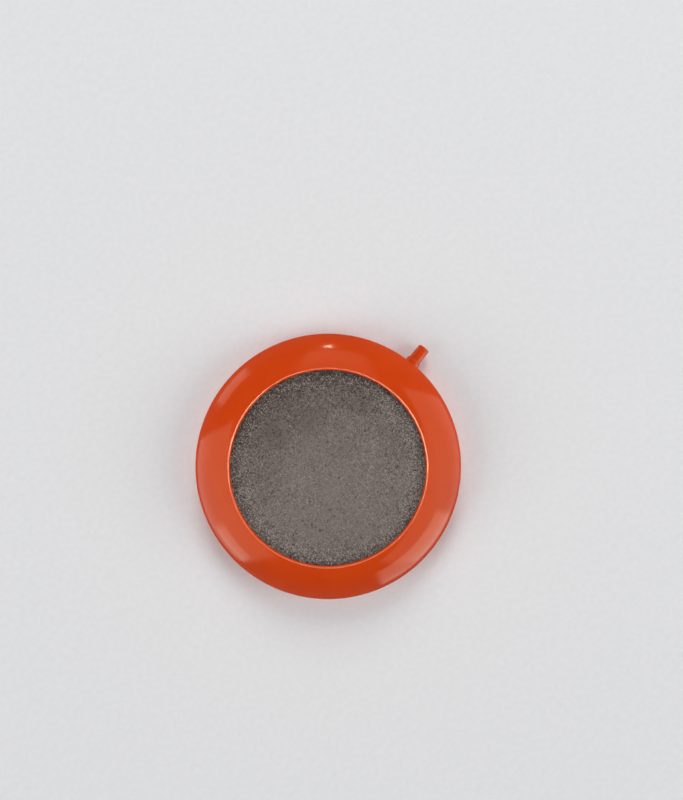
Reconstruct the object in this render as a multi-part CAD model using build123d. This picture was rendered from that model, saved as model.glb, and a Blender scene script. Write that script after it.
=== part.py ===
from build123d import *
import os

# Round air stone: a porous disc bonded into a dish, with a domed ring over its edge and an air inlet at the
# side. Millimetres, +Z up. The origin is on the disc's axis, on the surface that the dish stands on.
# The air inlet points along +X.

# Driving sizes
rim_radius = 50.0  # outermost edge of the top ring
ring_width = 14.0  # from that edge in to the lip
overall_height = 18.0  # top of the lip
barrel_radius = 2.3  # takes a flexible air hose of 4 mm bore
barrel_length = 5.8
bore_radius = 1.1  # air way through the nipple
chamber_height = 4.0  # free height under the disc

# Walls
dish_wall = 1.8
ring_wall = 1.8
lip_thickness = 1.2
rib_thickness = 1.4
floor_lift = 0.8  # the chamber's floor stands clear of the ground

# Top ring
dome_bulge = 1.7  # how far the dome stands proud of the straight line from edge to lip
edge_height = 1.0  # upright land at the outer edge
lip_land = 0.9  # level land at the lip
lip_round = 0.5
edge_round = 1.0
edge_under_round = 0.4
seat_depth = 0.9  # how far the dish's inner wall reaches into the ring
locating_rib_depth = 2.0
locating_rib_thickness = 1.1

# Fits and small distances
edge_overhang = 1.0  # the ring's edge stands out past the dish's side wall
fit_gap = 0.2
disc_overlap = 1.3  # how far the disc runs under the lip
disc_top_gap = 0.2
disc_chamfer = 0.4
seal_width = 1.1  # adhesive between the disc and the dish's inner wall
ledge_width = 1.4  # shelf under the disc's edge
bond_size = 0.8  # leg of the adhesive bead under the ring's edge
foot_chamfer = 0.4

# Air nipple and its socket
ground_gap = 1.3  # under the collar
collar_step = 0.5  # collar radius over the barrel's
collar_length = 2.3
collar_flare = 0.8  # length over which the collar narrows to the barrel
tip_round = 0.9
boss_margin = 0.4  # boss radius over the collar's
socket_gap = 0.05  # radial, for the spigot
socket_end_wall = 0.6
gland_width = 0.35  # adhesive ring in the socket's mouth
gland_depth = 0.8

# Ribs and the mark under the floor
web_count = 12
web_gap = 0.6  # under the ring's locating rib
disc_rib_count = 6
disc_rib_start = 9.0
disc_rib_end_gap = 6.0  # from the chamber's wall
post_radius = 4.0
gate_radius = 3.0
gate_depth = 0.4

# Radii and heights worked out from the sizes above
lip_radius = rim_radius - ring_width
disc_radius = lip_radius + disc_overlap
cup_radius = disc_radius + seal_width
cup_outer_radius = cup_radius + dish_wall
cup_pocket_radius = cup_outer_radius + fit_gap
disc_pocket_radius = disc_radius + 2 * fit_gap
chamber_radius = disc_radius - ledge_width
chamber_outer_radius = chamber_radius + dish_wall
side_radius = rim_radius - edge_overhang
side_inner_radius = side_radius - dish_wall
rib_outer_radius = side_inner_radius - fit_gap
rib_inner_radius = rib_outer_radius - locating_rib_thickness

collar_radius = barrel_radius + collar_step
boss_radius = collar_radius + boss_margin
socket_radius = barrel_radius + socket_gap
gland_radius = barrel_radius + gland_width
nipple_z = ground_gap + collar_radius
edge_z = nipple_z + boss_radius + fit_gap
rib_bottom_z = edge_z - locating_rib_depth
web_top_z = rib_bottom_z - web_gap
floor_top_z = floor_lift + dish_wall
ledge_z = floor_top_z + chamber_height
lip_under_z = overall_height - lip_thickness
disc_top_z = lip_under_z - disc_top_gap

boss_start_x = chamber_radius + dish_wall / 2
socket_end_x = cup_radius + socket_end_wall
spigot_start_x = socket_end_x + fit_gap
gland_x = side_radius - gland_depth
collar_end_x = side_radius + collar_length
flare_end_x = collar_end_x + collar_flare
tip_x = flare_end_x + barrel_length

# The dome is one arc from the top of the upright edge to the lip's land
dome_foot = (rim_radius, edge_z + edge_height)
dome_top = (lip_radius + lip_land, overall_height)
chord = Vector(dome_foot[0] - dome_top[0], dome_foot[1] - dome_top[1])
dome_radius = chord.length**2 / (8 * dome_bulge) + dome_bulge / 2
outward = Vector(-chord.Y, chord.X).normalized()
dome_centre = Vector(*dome_top) + chord / 2 - outward * (dome_radius - dome_bulge)


def dome_z(radius, depth=0.0):
    """Height of the dome's surface at this radius, or of the surface this deep inside it."""
    reach = radius - dome_centre.X
    return dome_centre.Y + ((dome_radius - depth) ** 2 - reach**2) ** 0.5


seat_z = dome_z(cup_pocket_radius, ring_wall) + seat_depth


def upright(points):
    """Points of a cross-section, each given as its distance from the disc's axis and its height."""
    return [(radius, 0, height) for radius, height in points]


def turned(points):
    """The solid that a straight-sided cross-section sweeps round the disc's axis."""
    return revolve(make_face(Polyline(upright(points), close=True)), axis=Axis.Z)


def round_edges(solid, radius, height):
    """The circular edges of a turned solid at this radius and height."""
    return [
        edge
        for edge in solid.edges().filter_by(GeomType.CIRCLE)
        if abs(edge.radius - radius) < 0.01 and abs(edge.arc_center.Z - height) < 0.01
    ]


def rod(radius, start_x, end_x):
    """A round bar along the air inlet's axis."""
    return Pos(start_x, 0, nipple_z) * (Plane.YZ * extrude(Circle(radius), end_x - start_x))


def bar(start, end, width, bottom, top):
    """A straight bar that points along +X, away from the disc's axis."""
    return Pos((start + end) / 2, 0, (bottom + top) / 2) * Box(end - start, width, top - bottom)


def over_boss():
    """The room that the inlet boss needs inside the ring's edge."""
    width = 2 * (boss_radius + fit_gap)
    return bar(rib_inner_radius - 1, side_radius, width, rib_bottom_z - 1, edge_z)


def top_ring():
    """Domed ring with a lip over the disc's edge, a pocket for the dish's inner wall and a locating rib."""
    dome_middle = (dome_foot[0] + dome_top[0]) / 2
    under_middle = (rib_inner_radius + cup_pocket_radius) / 2
    under_start = (cup_pocket_radius, dome_z(cup_pocket_radius, ring_wall))
    under_end = (rib_inner_radius, dome_z(rib_inner_radius, ring_wall))
    lip_side = [
        dome_top,
        (lip_radius, overall_height),
        (lip_radius, lip_under_z),
        (disc_pocket_radius, lip_under_z),
        (disc_pocket_radius, seat_z),
        (cup_pocket_radius, seat_z),
        under_start,
    ]
    edge_side = [
        under_end,
        (rib_inner_radius, rib_bottom_z),
        (rib_outer_radius, rib_bottom_z),
        (rib_outer_radius, edge_z),
        (rim_radius, edge_z),
        dome_foot,
    ]
    outline = [
        ThreePointArc(upright([dome_foot, (dome_middle, dome_z(dome_middle)), dome_top])),
        Polyline(upright(lip_side)),
        ThreePointArc(upright([under_start, (under_middle, dome_z(under_middle, ring_wall)), under_end])),
        Polyline(upright(edge_side)),
    ]
    edges = [edge for line in outline for edge in line.edges()]
    ring = revolve(make_face(Wire(edges)), axis=Axis.Z)
    ring = fillet(round_edges(ring, lip_radius, overall_height), lip_round)
    ring = fillet(round_edges(ring, *dome_foot), edge_round)
    ring = fillet(round_edges(ring, rim_radius, edge_z), edge_under_round)
    return ring - over_boss()


def dish_shell():
    """The stepped cup and the side wall round it, before the webs join them."""
    step_z = ledge_z - dish_wall
    cup = turned(
        [
            (0, floor_lift),
            (chamber_outer_radius, floor_lift),
            (chamber_outer_radius, step_z),
            (cup_outer_radius, step_z),
            (cup_outer_radius, seat_z),
            (0, seat_z),
        ]
    )
    side = turned(
        [
            (side_inner_radius, 0),
            (side_radius - foot_chamfer, 0),
            (side_radius, foot_chamfer),
            (side_radius, edge_z),
            (side_inner_radius + bond_size, edge_z),
            (side_inner_radius, edge_z - bond_size),
        ]
    )
    return cup + side


def base_dish():
    """Dish with a side wall, an air chamber, a ledge for the disc and a boss for the nipple."""
    dish = dish_shell()
    web_end = side_radius - dish_wall / 2
    web = bar(chamber_radius + dish_wall / 2, web_end, rib_thickness, floor_lift, web_top_z)
    for number in range(web_count):
        dish += Rot(0, 0, (number + 0.5) * 360 / web_count) * web
    dish += rod(boss_radius, boss_start_x, side_radius)
    dish -= turned([(0, ledge_z), (cup_radius, ledge_z), (cup_radius, seat_z), (0, seat_z)])
    dish -= turned([(0, floor_top_z), (chamber_radius, floor_top_z), (chamber_radius, ledge_z), (0, ledge_z)])
    dish -= turned([(0, floor_lift), (gate_radius, floor_lift), (0, floor_lift + gate_depth)])
    dish -= rod(socket_radius, socket_end_x, side_radius)
    dish -= rod(gland_radius, gland_x, side_radius)
    dish -= rod(bore_radius, boss_start_x - dish_wall, socket_end_x)
    disc_rib_end = chamber_radius - disc_rib_end_gap
    disc_rib = bar(disc_rib_start, disc_rib_end, rib_thickness, floor_top_z, ledge_z)
    for number in range(disc_rib_count):
        dish += Rot(0, 0, (number + 0.5) * 360 / disc_rib_count) * disc_rib
    dish += Pos(0, 0, floor_top_z + chamber_height / 2) * Cylinder(post_radius, chamber_height)
    return dish


def porous_disc():
    """Disc of bonded grain that the air comes out of."""
    thickness = disc_top_z - ledge_z
    disc = Pos(0, 0, ledge_z + thickness / 2) * Cylinder(disc_radius, thickness)
    return chamfer(disc.edges().filter_by(GeomType.CIRCLE), disc_chamfer)


def disc_adhesive():
    """Bead that fills the gap between the disc's edge and the dish, so that no air passes round the disc."""
    top = seat_z - fit_gap
    return turned(
        [
            (disc_radius - disc_chamfer, ledge_z),
            (cup_radius, ledge_z),
            (cup_radius, top),
            (disc_radius, top),
            (disc_radius, ledge_z + disc_chamfer),
        ]
    )


def ring_adhesive():
    """Bead in the chamfered corner between the ring's edge and the dish's side wall."""
    bead = turned(
        [
            (rib_outer_radius, edge_z - bond_size),
            (side_inner_radius, edge_z - bond_size),
            (side_inner_radius + bond_size, edge_z),
            (rib_outer_radius, edge_z),
        ]
    )
    return bead - over_boss()


def air_nipple():
    """Air inlet: a spigot in the dish's socket, a flared collar and a barrel for the hose."""
    outline = [
        (spigot_start_x, 0, nipple_z),
        (spigot_start_x, 0, nipple_z + barrel_radius),
        (side_radius, 0, nipple_z + barrel_radius),
        (side_radius, 0, nipple_z + collar_radius),
        (collar_end_x, 0, nipple_z + collar_radius),
        (flare_end_x, 0, nipple_z + barrel_radius),
        (tip_x, 0, nipple_z + barrel_radius),
        (tip_x, 0, nipple_z),
    ]
    centre_line = Axis((0, 0, nipple_z), (1, 0, 0))
    nipple = revolve(make_face(Polyline(outline, close=True)), axis=centre_line)
    tip = [edge for edge in nipple.edges().filter_by(GeomType.CIRCLE) if edge.arc_center.X > flare_end_x + 1]
    return fillet(tip, tip_round) - rod(bore_radius, spigot_start_x, tip_x)


def nipple_adhesive():
    """Ring in the mouth of the nipple's socket, behind the collar."""
    return rod(gland_radius, gland_x, side_radius) - rod(barrel_radius, gland_x, side_radius)


pieces = [top_ring, base_dish, porous_disc, disc_adhesive, ring_adhesive, air_nipple, nipple_adhesive]
os.makedirs("parts", exist_ok=True)
for piece in pieces:
    export_step(piece(), f"parts/{piece.__name__}.step")
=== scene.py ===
import math

import bmesh
import bpy
import numpy as np
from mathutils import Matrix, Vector


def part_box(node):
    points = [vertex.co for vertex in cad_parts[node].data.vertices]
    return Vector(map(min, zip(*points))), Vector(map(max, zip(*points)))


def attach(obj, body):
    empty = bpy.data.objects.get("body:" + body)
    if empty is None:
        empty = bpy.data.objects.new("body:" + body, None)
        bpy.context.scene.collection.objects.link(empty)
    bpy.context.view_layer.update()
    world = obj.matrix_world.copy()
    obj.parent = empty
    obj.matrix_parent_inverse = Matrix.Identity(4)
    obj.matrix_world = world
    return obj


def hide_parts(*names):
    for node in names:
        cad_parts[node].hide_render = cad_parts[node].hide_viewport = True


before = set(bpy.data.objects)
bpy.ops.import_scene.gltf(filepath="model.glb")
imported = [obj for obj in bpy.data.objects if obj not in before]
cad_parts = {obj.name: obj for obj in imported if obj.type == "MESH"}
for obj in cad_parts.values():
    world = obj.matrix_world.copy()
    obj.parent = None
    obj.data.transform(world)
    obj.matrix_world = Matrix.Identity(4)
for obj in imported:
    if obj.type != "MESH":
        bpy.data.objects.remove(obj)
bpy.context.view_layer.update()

MM = 0.001

# The disc's place and size, from the frame
DISC_LOW, DISC_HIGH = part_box("porous_disc")
DISC_RADIUS = DISC_HIGH.y

VIEW_TURN = math.radians(50.8)  # the nipple's direction in the picture, from the right
VIEW_RIGHT = Vector((math.cos(VIEW_TURN), -math.sin(VIEW_TURN), 0))
VIEW_UP = Vector((math.sin(VIEW_TURN), math.cos(VIEW_TURN), 0))


# ---------------------------------------------------------------- node helpers


class Tree:
    """A material's node tree, with short calls to add and join nodes."""

    def __init__(self, name):
        self.material = bpy.data.materials.new(name)
        self.material.use_nodes = True
        self.nodes = self.material.node_tree.nodes
        self.links = self.material.node_tree.links
        self.shader = self.nodes["Principled BSDF"]

    def add(self, kind, **settings):
        node = self.nodes.new("ShaderNode" + kind)
        for name, value in settings.items():
            setattr(node, name, value)
        return node

    def join(self, source, target):
        self.links.new(source, target)

    def set(self, **values):
        """Constants on the shader's own sockets; underscores stand for spaces."""
        for name, value in values.items():
            self.shader.inputs[name.replace("_", " ")].default_value = value

    def place(self):
        return self.add("TexCoord").outputs["Object"]

    def noise(self, vector, size, detail=2.0, roughness=0.5):
        """Noise with features about this size, in metres. Its mean is 0.5."""
        node = self.add("TexNoise")
        node.inputs["Scale"].default_value = 1 / size
        node.inputs["Detail"].default_value = detail
        node.inputs["Roughness"].default_value = roughness
        self.join(vector, node.inputs["Vector"])
        return node.outputs["Fac"]

    def range(self, value, low, high, to_low, to_high):
        node = self.add("MapRange")
        for name, number in (("From Min", low), ("From Max", high), ("To Min", to_low), ("To Max", to_high)):
            node.inputs[name].default_value = number
        self.join(value, node.inputs["Value"])
        return node.outputs["Result"]

    def math(self, operation, first, second):
        node = self.add("Math", operation=operation)
        for socket, value in zip(node.inputs, (first, second)):
            if isinstance(value, (int, float)):
                socket.default_value = value
            else:
                self.join(value, socket)
        return node.outputs[0]

    def mix(self, factor, first, second, blend="MIX"):
        node = self.add("Mix", data_type="RGBA", blend_type=blend)
        for socket, value in ((node.inputs[0], factor), (node.inputs[6], first), (node.inputs[7], second)):
            if isinstance(value, (int, float)):
                socket.default_value = value
            elif isinstance(value, tuple):
                socket.default_value = (*value, 1.0)
            else:
                self.join(value, socket)
        return node.outputs[2]

    def bump(self, height, distance, normal=None):
        node = self.add("Bump")
        node.inputs["Distance"].default_value = distance
        self.join(height, node.inputs["Height"])
        if normal:
            self.join(normal, node.inputs["Normal"])
        return node.outputs["Normal"]


def linear(red, green, blue):
    """A colour given in 0-255 display values, as the renderer's linear values."""
    values = [v / 255 for v in (red, green, blue)]
    return tuple(v / 12.92 if v <= 0.04045 else ((v + 0.055) / 1.055) ** 2.4 for v in values)


# ---------------------------------------------------------------- materials


def moulded_plastic():
    """Glossy orange injection-moulded plastic."""
    tree = Tree("orange_plastic")
    where = tree.place()
    flow = tree.noise(where, 14 * MM, detail=3)
    tint = tree.mix(tree.range(flow, 0.3, 0.7, 0, 1), linear(222, 66, 3), linear(226, 71, 6))
    pigment = tree.noise(where, 0.3 * MM)
    colour = tree.mix(tree.range(pigment, 0.3, 0.7, 0.0, 0.12), tint, linear(192, 50, 4))
    tree.join(colour, tree.shader.inputs["Base Color"])
    polish = tree.noise(where, 5 * MM, detail=4)
    tree.join(tree.range(polish, 0.25, 0.75, 0.10, 0.16), tree.shader.inputs["Roughness"])
    waves = tree.bump(tree.noise(where, 6 * MM), 0.02 * MM)
    peel = tree.bump(tree.noise(where, 0.7 * MM, detail=3), 0.0012 * MM, waves)
    tree.join(peel, tree.shader.inputs["Normal"])
    tree.set(IOR=1.49, Specular_IOR_Level=0.5, Specular_Tint=(1.0, 0.88, 0.6, 1.0))
    tree.set(Subsurface_Weight=0.06, Subsurface_Radius=(1.0, 0.25, 0.1), Subsurface_Scale=1.5 * MM)
    return tree.material


def bonded_grain():
    """Grey-brown mineral grains, each with its own tone, with dark gaps between them; painted shade darkens
    the gaps, the sunken grains, the rim and one side, and a painted sheen pales the middle.
    """
    tree = Tree("bonded_grain")
    where = tree.place()
    grain = tree.add("TexVoronoi")
    gap = tree.add("TexVoronoi", feature="DISTANCE_TO_EDGE")
    for node in (grain, gap):
        node.inputs["Scale"].default_value = 1 / GRAIN_SIZE
        tree.join(where, node.inputs["Vector"])
    parts = tree.add("SeparateColor")
    tree.join(grain.outputs["Color"], parts.inputs[0])
    pick, lean, rise = parts.outputs

    tones = tree.add("ValToRGB")
    ramp = tones.color_ramp
    ramp.interpolation = "CONSTANT"
    start = 0.0
    for number, (share, colour) in enumerate(GRAIN_TONES):
        stop = ramp.elements[0] if number == 0 else ramp.elements.new(start)
        stop.position = start
        stop.color = (*linear(*colour), 1)
        start += share
    ramp.elements.remove(ramp.elements[-1])
    tree.join(pick, tones.inputs[0])
    colour = tones.outputs[0]

    shade = tree.range(lean, 0, 1, 0.0, 0.35)
    colour = tree.mix(shade, colour, linear(74, 64, 58))
    cloud = tree.noise(where, 13 * MM, detail=3)
    colour = tree.mix(tree.range(cloud, 0.35, 0.65, 0, 0.22), colour, linear(124, 113, 100))
    wear = tree.noise(where, 4 * MM, detail=4)
    colour = tree.mix(tree.range(wear, 0.4, 0.7, 0, 0.2), colour, linear(92, 82, 77))
    side = tree.add("VectorMath", operation="DOT_PRODUCT")  # painted shade and light: the disc is darker towards the view's upper side and paler towards the lower side
    tree.join(where, side.inputs[0])
    side.inputs[1].default_value = VIEW_UP - 0.35 * VIEW_RIGHT
    side_shade_level = tree.math("ADD", side.outputs["Value"], tree.range(cloud, 0.3, 0.7, -9 * MM, 9 * MM))
    # painted light: paler towards the lower side of the view
    colour = tree.mix(tree.range(side_shade_level, -34 * MM, 22 * MM, 0.72, 0.0), colour, linear(150, 137, 130))
    # painted shade: darker towards the upper side of the view
    colour = tree.mix(tree.range(side_shade_level, -4 * MM, 36 * MM, 0.0, 0.66), colour, linear(78, 64, 56))
    across = tree.add("VectorMath", operation="LENGTH")
    flat = tree.add("VectorMath", operation="MULTIPLY")
    tree.join(where, flat.inputs[0])
    flat.inputs[1].default_value = (1, 1, 0)
    tree.join(flat.outputs[0], across.inputs[0])
    # painted shade: the disc darkens towards its rim, next to the ring's lip wall
    painted_rim_shade = tree.range(across.outputs["Value"], DISC_RADIUS - 5 * MM, DISC_RADIUS - 0.5 * MM, 0.0, 0.35)
    colour = tree.mix(painted_rim_shade, colour, linear(62, 50, 45))
    crisp = tree.range(across.outputs["Value"], 25 * MM, 34 * MM, 0.0, 0.6)  # more contrast at the edge
    pale = tree.math("MULTIPLY", tree.math("GREATER_THAN", rise, 0.84), crisp)
    colour = tree.mix(pale, colour, linear(214, 204, 196))
    deep = tree.math("MULTIPLY", tree.math("LESS_THAN", rise, 0.26), crisp)
    colour = tree.mix(deep, colour, linear(44, 36, 32))
    # painted shade: the gaps between grains and the sunken grains are darkened, for the shade in the pores
    sunk = tree.add("Attribute", attribute_name="sunk").outputs["Fac"]
    gap_shade = tree.range(gap.outputs["Distance"], 0.0, 0.12, 0.6, 0.0)
    colour = tree.mix(tree.math("MAXIMUM", gap_shade, sunk), colour, linear(50, 41, 37))
    painted_middle_sheen = tree.range(across.outputs["Value"], 12 * MM, 31 * MM, 0.38, 0.0)  # painted sheen: the middle is paler and shows less contrast
    colour = tree.mix(painted_middle_sheen, colour, linear(138, 128, 122))
    tree.join(colour, tree.shader.inputs["Base Color"])

    fine = tree.noise(where, 0.16 * MM, detail=2)
    tree.join(tree.range(fine, 0.3, 0.7, 0.45, 0.85), tree.shader.inputs["Roughness"])
    step = tree.math("ADD", tree.range(gap.outputs["Distance"], 0.0, 0.3, 0.0, 1.0), rise)
    facets = tree.bump(step, 0.06 * MM)
    tree.join(tree.bump(fine, 0.03 * MM, facets), tree.shader.inputs["Normal"])
    tree.set(Specular_IOR_Level=0.2)
    return tree.material


def cured_adhesive():
    """Cloudy cream adhesive."""
    tree = Tree("cured_adhesive")
    where = tree.place()
    cloud = tree.noise(where, 1.5 * MM, detail=3)
    colour = tree.mix(tree.range(cloud, 0.3, 0.7, 0, 1), linear(205, 200, 186), linear(226, 222, 210))
    tree.join(colour, tree.shader.inputs["Base Color"])
    tree.join(tree.range(cloud, 0.3, 0.7, 0.3, 0.5), tree.shader.inputs["Roughness"])
    tree.set(Subsurface_Weight=0.3, Subsurface_Radius=(1.0, 0.9, 0.7), Subsurface_Scale=1 * MM)
    return tree.material


GLOW_NEAR, GLOW_FULL = 0.8, 1.7  # metres from the object: where the glow starts, and where it is full
FLOOR_GLOW = 0.8


def floor_finish():
    """Pale matt paper. Away from the object it turns into an even glow, so that it stays pale up to
    the skyline."""
    tree = Tree("pale_floor")
    where = tree.place()
    grain = tree.noise(where, 2 * MM)
    paper = tree.mix(tree.range(grain, 0.3, 0.7, 0, 1), linear(241, 241, 242), linear(245, 245, 246))
    away = tree.add("VectorMath", operation="LENGTH")
    tree.join(where, away.inputs[0])
    distance = away.outputs["Value"]
    black = (0.0, 0.0, 0.0)
    colour = tree.mix(tree.range(distance, GLOW_NEAR, GLOW_FULL, 0, 1), paper, black)
    tree.join(colour, tree.shader.inputs["Base Color"])
    glow = tree.range(distance, GLOW_NEAR, GLOW_FULL, 0.0, FLOOR_GLOW)
    tree.join(glow, tree.shader.inputs["Emission Strength"])
    tree.set(Roughness=0.8, Specular_IOR_Level=0.0, Emission_Color=(1, 1, 1, 1))
    return tree.material


# ---------------------------------------------------------------- the porous disc

GRAIN_SIZE = 0.38 * MM  # across one grain of the surface
GRAIN_PITCH = 0.75 * MM  # between the middles of neighbouring lumps of the top's relief
GRID = 296  # squares along each side of the top's grid
RELIEF = 0.5 * MM  # of one unit of height on the top
TOP_DEPTH = 0.15 * MM  # the top's mean level, under the disc's CAD box
EDGE_WIDTH, EDGE_DEPTH = 0.6 * MM, 0.05 * MM  # no grain stands high this near the edge
SEED = 7
GRAIN_TONES = (  # share of the grains, colour
    (0.36, (176, 164, 156)),
    (0.26, (198, 188, 181)),
    (0.19, (128, 114, 107)),
    (0.07, (62, 51, 47)),
    (0.05, (212, 206, 201)),
    (0.018, (166, 126, 98)),
    (0.04, (150, 142, 118)),
    (0.012, (255, 255, 253)),
)


def disc_points(count):
    """A square grid of (count + 1) points a side, spread evenly over a disc of radius 1."""
    steps = np.linspace(-1, 1, count + 1)
    a, b = np.meshgrid(steps, steps, indexing="ij")
    wide = np.abs(a) > np.abs(b)
    radius = np.where(wide, a, b)
    with np.errstate(divide="ignore", invalid="ignore"):
        angle = np.where(wide, math.pi / 4 * b / a, math.pi / 2 - math.pi / 4 * a / b)
    angle = np.nan_to_num(angle)
    return radius * np.cos(angle), radius * np.sin(angle)


def grains(x, y, pitch, rng):
    """Packs grains over the plane. Returns each point's grain number, its offset from that grain's middle
    in pitches, and how near it is to the gap between two grains, from 0 in the gap."""
    reach = int(max(np.abs(x).max(), np.abs(y).max()) / pitch) + 4
    side = 2 * reach + 1
    shift = rng.uniform(0.06, 0.94, (side, side, 2))
    bulk = rng.uniform(0.0, 0.16, (side, side))
    column = np.floor(x / pitch).astype(int) + reach
    row = np.floor(y / pitch).astype(int) + reach
    best = np.full(x.shape, 1e9)
    second = np.full(x.shape, 1e9)
    number = np.zeros(x.shape, int)
    offset = np.zeros((*x.shape, 2))
    for i in range(-2, 3):
        for j in range(-2, 3):
            c, r = column + i, row + j
            dx = x / pitch - (c - reach + shift[c, r, 0])
            dy = y / pitch - (r - reach + shift[c, r, 1])
            distance = dx**2 + dy**2 - bulk[c, r]
            nearer = distance < best
            second = np.where(nearer, best, np.minimum(second, distance))
            number = np.where(nearer, c * side + r, number)
            offset[nearer] = np.stack([dx, dy], -1)[nearer]
            best = np.where(nearer, distance, best)
    return number, offset, np.sqrt(np.maximum(second, 0)) - np.sqrt(np.maximum(best, 0)), side * side


def porous_disc():
    """The bonded disc: every grain on its top is a small tilted facet of its own height and tone."""
    rng = np.random.default_rng(SEED)
    u, v = disc_points(GRID)
    x, y = u * DISC_RADIUS, v * DISC_RADIUS
    number, offset, clear, total = grains(x, y, GRAIN_PITCH, rng)
    height = rng.normal(0, 0.07, total)
    height[rng.random(total) < 0.05] -= 0.32
    tilt = rng.normal(0, 0.28, (total, 2))
    crown = rng.uniform(0.15, 0.5, total)
    lie = (tilt[number] * offset).sum(-1) - crown[number] * (offset**2).sum(-1)
    sunk = np.exp(-((clear / 0.22) ** 2))
    grit = rng.normal(0, 0.018, x.shape)
    rise = height[number] + 0.45 * lie - 0.2 * sunk + grit
    top = DISC_HIGH.z - TOP_DEPTH + np.clip(rise, -0.75, 0.3) * RELIEF
    edge = np.hypot(x, y) > DISC_RADIUS - EDGE_WIDTH
    top[edge] = np.minimum(top[edge], DISC_HIGH.z - EDGE_DEPTH)

    side = GRID + 1
    index = np.arange(side * side).reshape(side, side)
    points = np.stack([x, y, top], -1).reshape(-1, 3)
    corners = [index[:-1, :-1], index[1:, :-1], index[1:, 1:], index[:-1, 1:]]
    quads = np.stack(corners, -1).reshape(-1, 4)
    rim = np.concatenate([index[:-1, 0], index[-1, :-1], index[:0:-1, -1], index[0, :0:-1]])

    mesh = bpy.data.meshes.new("porous_disc_grain")
    faces = quads[:, ::-1].tolist() if signed_area(x, y, quads) < 0 else quads.tolist()
    mesh.from_pydata(points.tolist(), [], faces)
    # how deep each point lies, which the grain material darkens as painted shade
    depth = np.clip(0.35 * sunk + np.clip(-height[number] - 0.12, 0, 1) * 2.2, 0, 0.8).ravel()
    mesh.attributes.new("sunk", "FLOAT", "POINT").data.foreach_set("value", depth)

    shell = bmesh.new()
    shell.from_mesh(mesh)
    shell.verts.ensure_lookup_table()
    loop = [shell.verts[i] for i in rim]
    for level, radius in ((DISC_HIGH.z - 1 * MM, DISC_RADIUS), (DISC_LOW.z, DISC_RADIUS)):
        loop = next_loop(shell, loop, radius, level)
    centre = shell.verts.new((0, 0, DISC_LOW.z))
    for first, other in zip(loop, loop[1:] + loop[:1]):
        shell.faces.new((first, other, centre))
    bmesh.ops.recalc_face_normals(shell, faces=shell.faces)
    shell.to_mesh(mesh)
    shell.free()

    disc = bpy.data.objects.new("porous_disc_grain", mesh)
    bpy.context.scene.collection.objects.link(disc)
    mesh.materials.append(bonded_grain())
    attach(disc, "root")
    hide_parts("porous_disc")
    return disc


def signed_area(x, y, quads):
    corners = quads[0]
    px, py = x.ravel()[corners], y.ravel()[corners]
    return float((px * np.roll(py, -1) - py * np.roll(px, -1)).sum())


def next_loop(shell, loop, radius, level):
    """A new ring of points below a loop, at this radius and level, joined to it by faces."""
    lower = []
    for vertex in loop:
        scale = radius / vertex.co.xy.length
        lower.append(shell.verts.new((vertex.co.x * scale, vertex.co.y * scale, level)))
    count = len(loop)
    for i in range(count):
        j = (i + 1) % count
        shell.faces.new((loop[i], loop[j], lower[j], lower[i]))
    return lower


# ---------------------------------------------------------------- stage, lights and camera

FLOOR_HALF = 12.0  # metres, well past the edges of every view
FLOOR_LEVEL = -0.02 * MM  # just clear of the dish's foot
CAMERA_HEIGHT = 0.404
LENS, SENSOR = 47.3, 36.0
LAMP_DISTANCE = 1.8
SKYLINE = 0.87  # brightness behind the floor, for the camera only


def stage():
    """A plain pale floor."""
    mesh = bpy.data.meshes.new("floor")
    turns = ((-1, -1), (1, -1), (1, 1), (-1, 1))
    corners = [(x * FLOOR_HALF, y * FLOOR_HALF, FLOOR_LEVEL) for x, y in turns]
    mesh.from_pydata(corners, [], [(0, 1, 2, 3)])
    floor = bpy.data.objects.new("floor", mesh)
    bpy.context.scene.collection.objects.link(floor)
    mesh.materials.append(floor_finish())
    floor.visible_glossy = False  # keeps the plastic's colour deep at the rim


def in_view(right, up, height):
    """A point given by its distances to the right and up in the camera's picture, and its height."""
    return right * VIEW_RIGHT + up * VIEW_UP + Vector((0, 0, height))


def on_dome(turn, tilt):
    """A lamp's place. Turn goes from the picture's right, and tilt from straight overhead, in degrees."""
    turn, tilt = math.radians(turn), math.radians(tilt)
    side = LAMP_DISTANCE * math.sin(tilt)
    return in_view(side * math.cos(turn), side * math.sin(turn), LAMP_DISTANCE * math.cos(tilt))


def camera():
    """Straight down on the disc, with the nipple at the upper right."""
    data = bpy.data.cameras.new("camera")
    data.lens = LENS
    data.sensor_width = SENSOR
    cam = bpy.data.objects.new("camera", data)
    cam.location = in_view(5 * MM, 25 * MM, CAMERA_HEIGHT)
    cam.rotation_euler = (0, 0, -VIEW_TURN)
    bpy.context.scene.collection.objects.link(cam)
    bpy.context.scene.camera = cam


def soft_light(name, place, size, radiance, diffuse=True, glossy=True):
    """A flat lamp of even brightness, aimed at the disc. A lamp with two sizes is a rectangle.
    A lamp can be kept out of the matt shading (diffuse) or out of the reflections (glossy)."""
    light = bpy.data.lights.new(name, "AREA")
    if isinstance(size, tuple):
        light.shape = "RECTANGLE"
        light.size, light.size_y = size
        area = size[0] * size[1]
    else:
        light.shape = "DISK"
        light.size = size
        area = math.pi * (size / 2) ** 2
    light.energy = radiance * math.pi * area
    lamp = bpy.data.objects.new(name, light)
    lamp.location = place
    lamp.rotation_mode = "QUATERNION"
    lamp.rotation_quaternion = (-place).to_track_quat("-Z", "Y")
    lamp.visible_camera = False
    lamp.visible_diffuse = diffuse
    lamp.visible_glossy = glossy
    bpy.context.scene.collection.objects.link(lamp)


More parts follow.
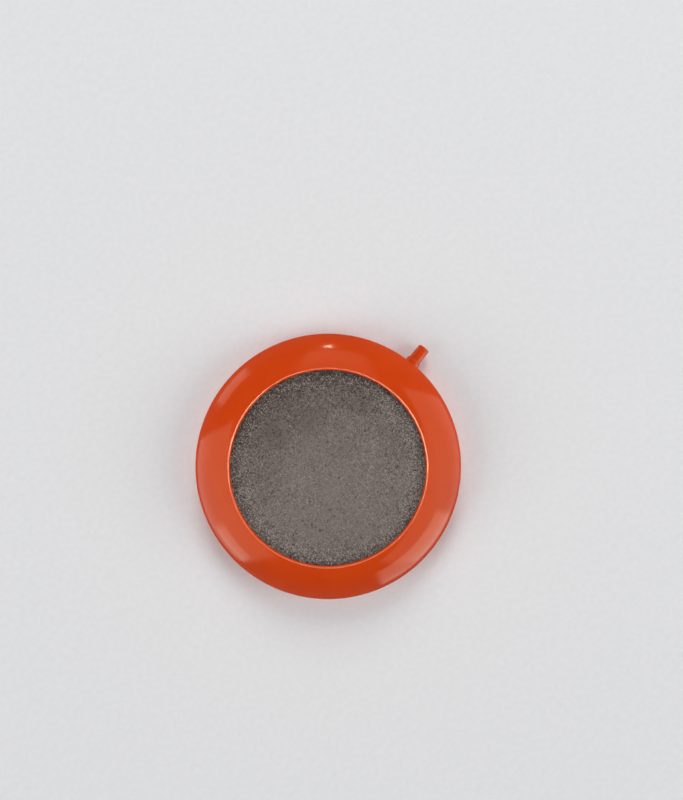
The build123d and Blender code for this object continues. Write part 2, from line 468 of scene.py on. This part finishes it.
def sky():
    """Faint even light from all round, and a brighter pale background that only the camera sees."""
    world = bpy.data.worlds.new("studio")
    bpy.context.scene.world = world
    world.use_nodes = True
    background = world.node_tree.nodes["Background"]
    background.inputs["Color"].default_value = (0.96, 0.98, 1.0, 1.0)
    background.inputs["Strength"].default_value = 0.2
    skyline = world.node_tree.nodes.new("ShaderNodeBackground")
    skyline.inputs["Color"].default_value = (1, 1, 1, 1)
    skyline.inputs["Strength"].default_value = SKYLINE
    seen = world.node_tree.nodes.new("ShaderNodeLightPath").outputs["Is Camera Ray"]
    either = world.node_tree.nodes.new("ShaderNodeMixShader")
    world.node_tree.links.new(seen, either.inputs[0])
    world.node_tree.links.new(background.outputs[0], either.inputs[1])
    world.node_tree.links.new(skyline.outputs[0], either.inputs[2])
    world.node_tree.links.new(either.outputs[0], world.node_tree.nodes["World Output"].inputs[0])


def lights():
    """A big soft light, fills at both sides, and panels that only show as reflections in the ring."""
    soft_light("key", on_dome(90, 54), 0.90, 5.4, glossy=False)
    soft_light("overhead", in_view(-0.023, -0.15, LAMP_DISTANCE), 0.44, 4.5)
    soft_light("lip_line", in_view(0, -0.045, LAMP_DISTANCE), (0.52, 0.19), 14.0, diffuse=False)
    soft_light("top_panel", on_dome(86, 46), (0.96, 1.53), 0.45)
    soft_light("left_fill", on_dome(206, 60), 1.2, 3.3, glossy=False)
    soft_light("right_fill", on_dome(-10, 60), 1.2, 3.3, glossy=False)
    soft_light("left_panel", on_dome(200, 74), (2.3, 3.2), 1.15, diffuse=False)
    soft_light("right_panel", on_dome(-10, 74), (3.6, 3.2), 0.95, diffuse=False)
    soft_light("left_low", on_dome(221, 90), (0.6, 0.9), 1.4, diffuse=False)
    soft_light("right_low", on_dome(-46, 91), (1.4, 1.5), 1.6, diffuse=False)
    soft_light("upper_left_low", on_dome(143, 94), (0.65, 0.8), 1.3, diffuse=False)
    soft_light("glint", on_dome(90.5, 77.5), (0.012, 0.15), 270.0, diffuse=False)


def finish_frame_pieces():
    """Gives the pieces that keep their CAD shape their finish."""
    plastic = moulded_plastic()
    adhesive = cured_adhesive()
    finishes = {
        "top_ring": plastic,
        "base_dish": plastic,
        "air_nipple": plastic,
        "disc_adhesive": adhesive,
        "ring_adhesive": adhesive,
        "nipple_adhesive": adhesive,
    }
    for name, finish in finishes.items():
        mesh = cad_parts[name].data
        mesh.materials.clear()
        mesh.materials.append(finish)


finish_frame_pieces()
porous_disc()
stage()
sky()
lights()
camera()
bpy.context.scene.view_settings.view_transform = "Standard"
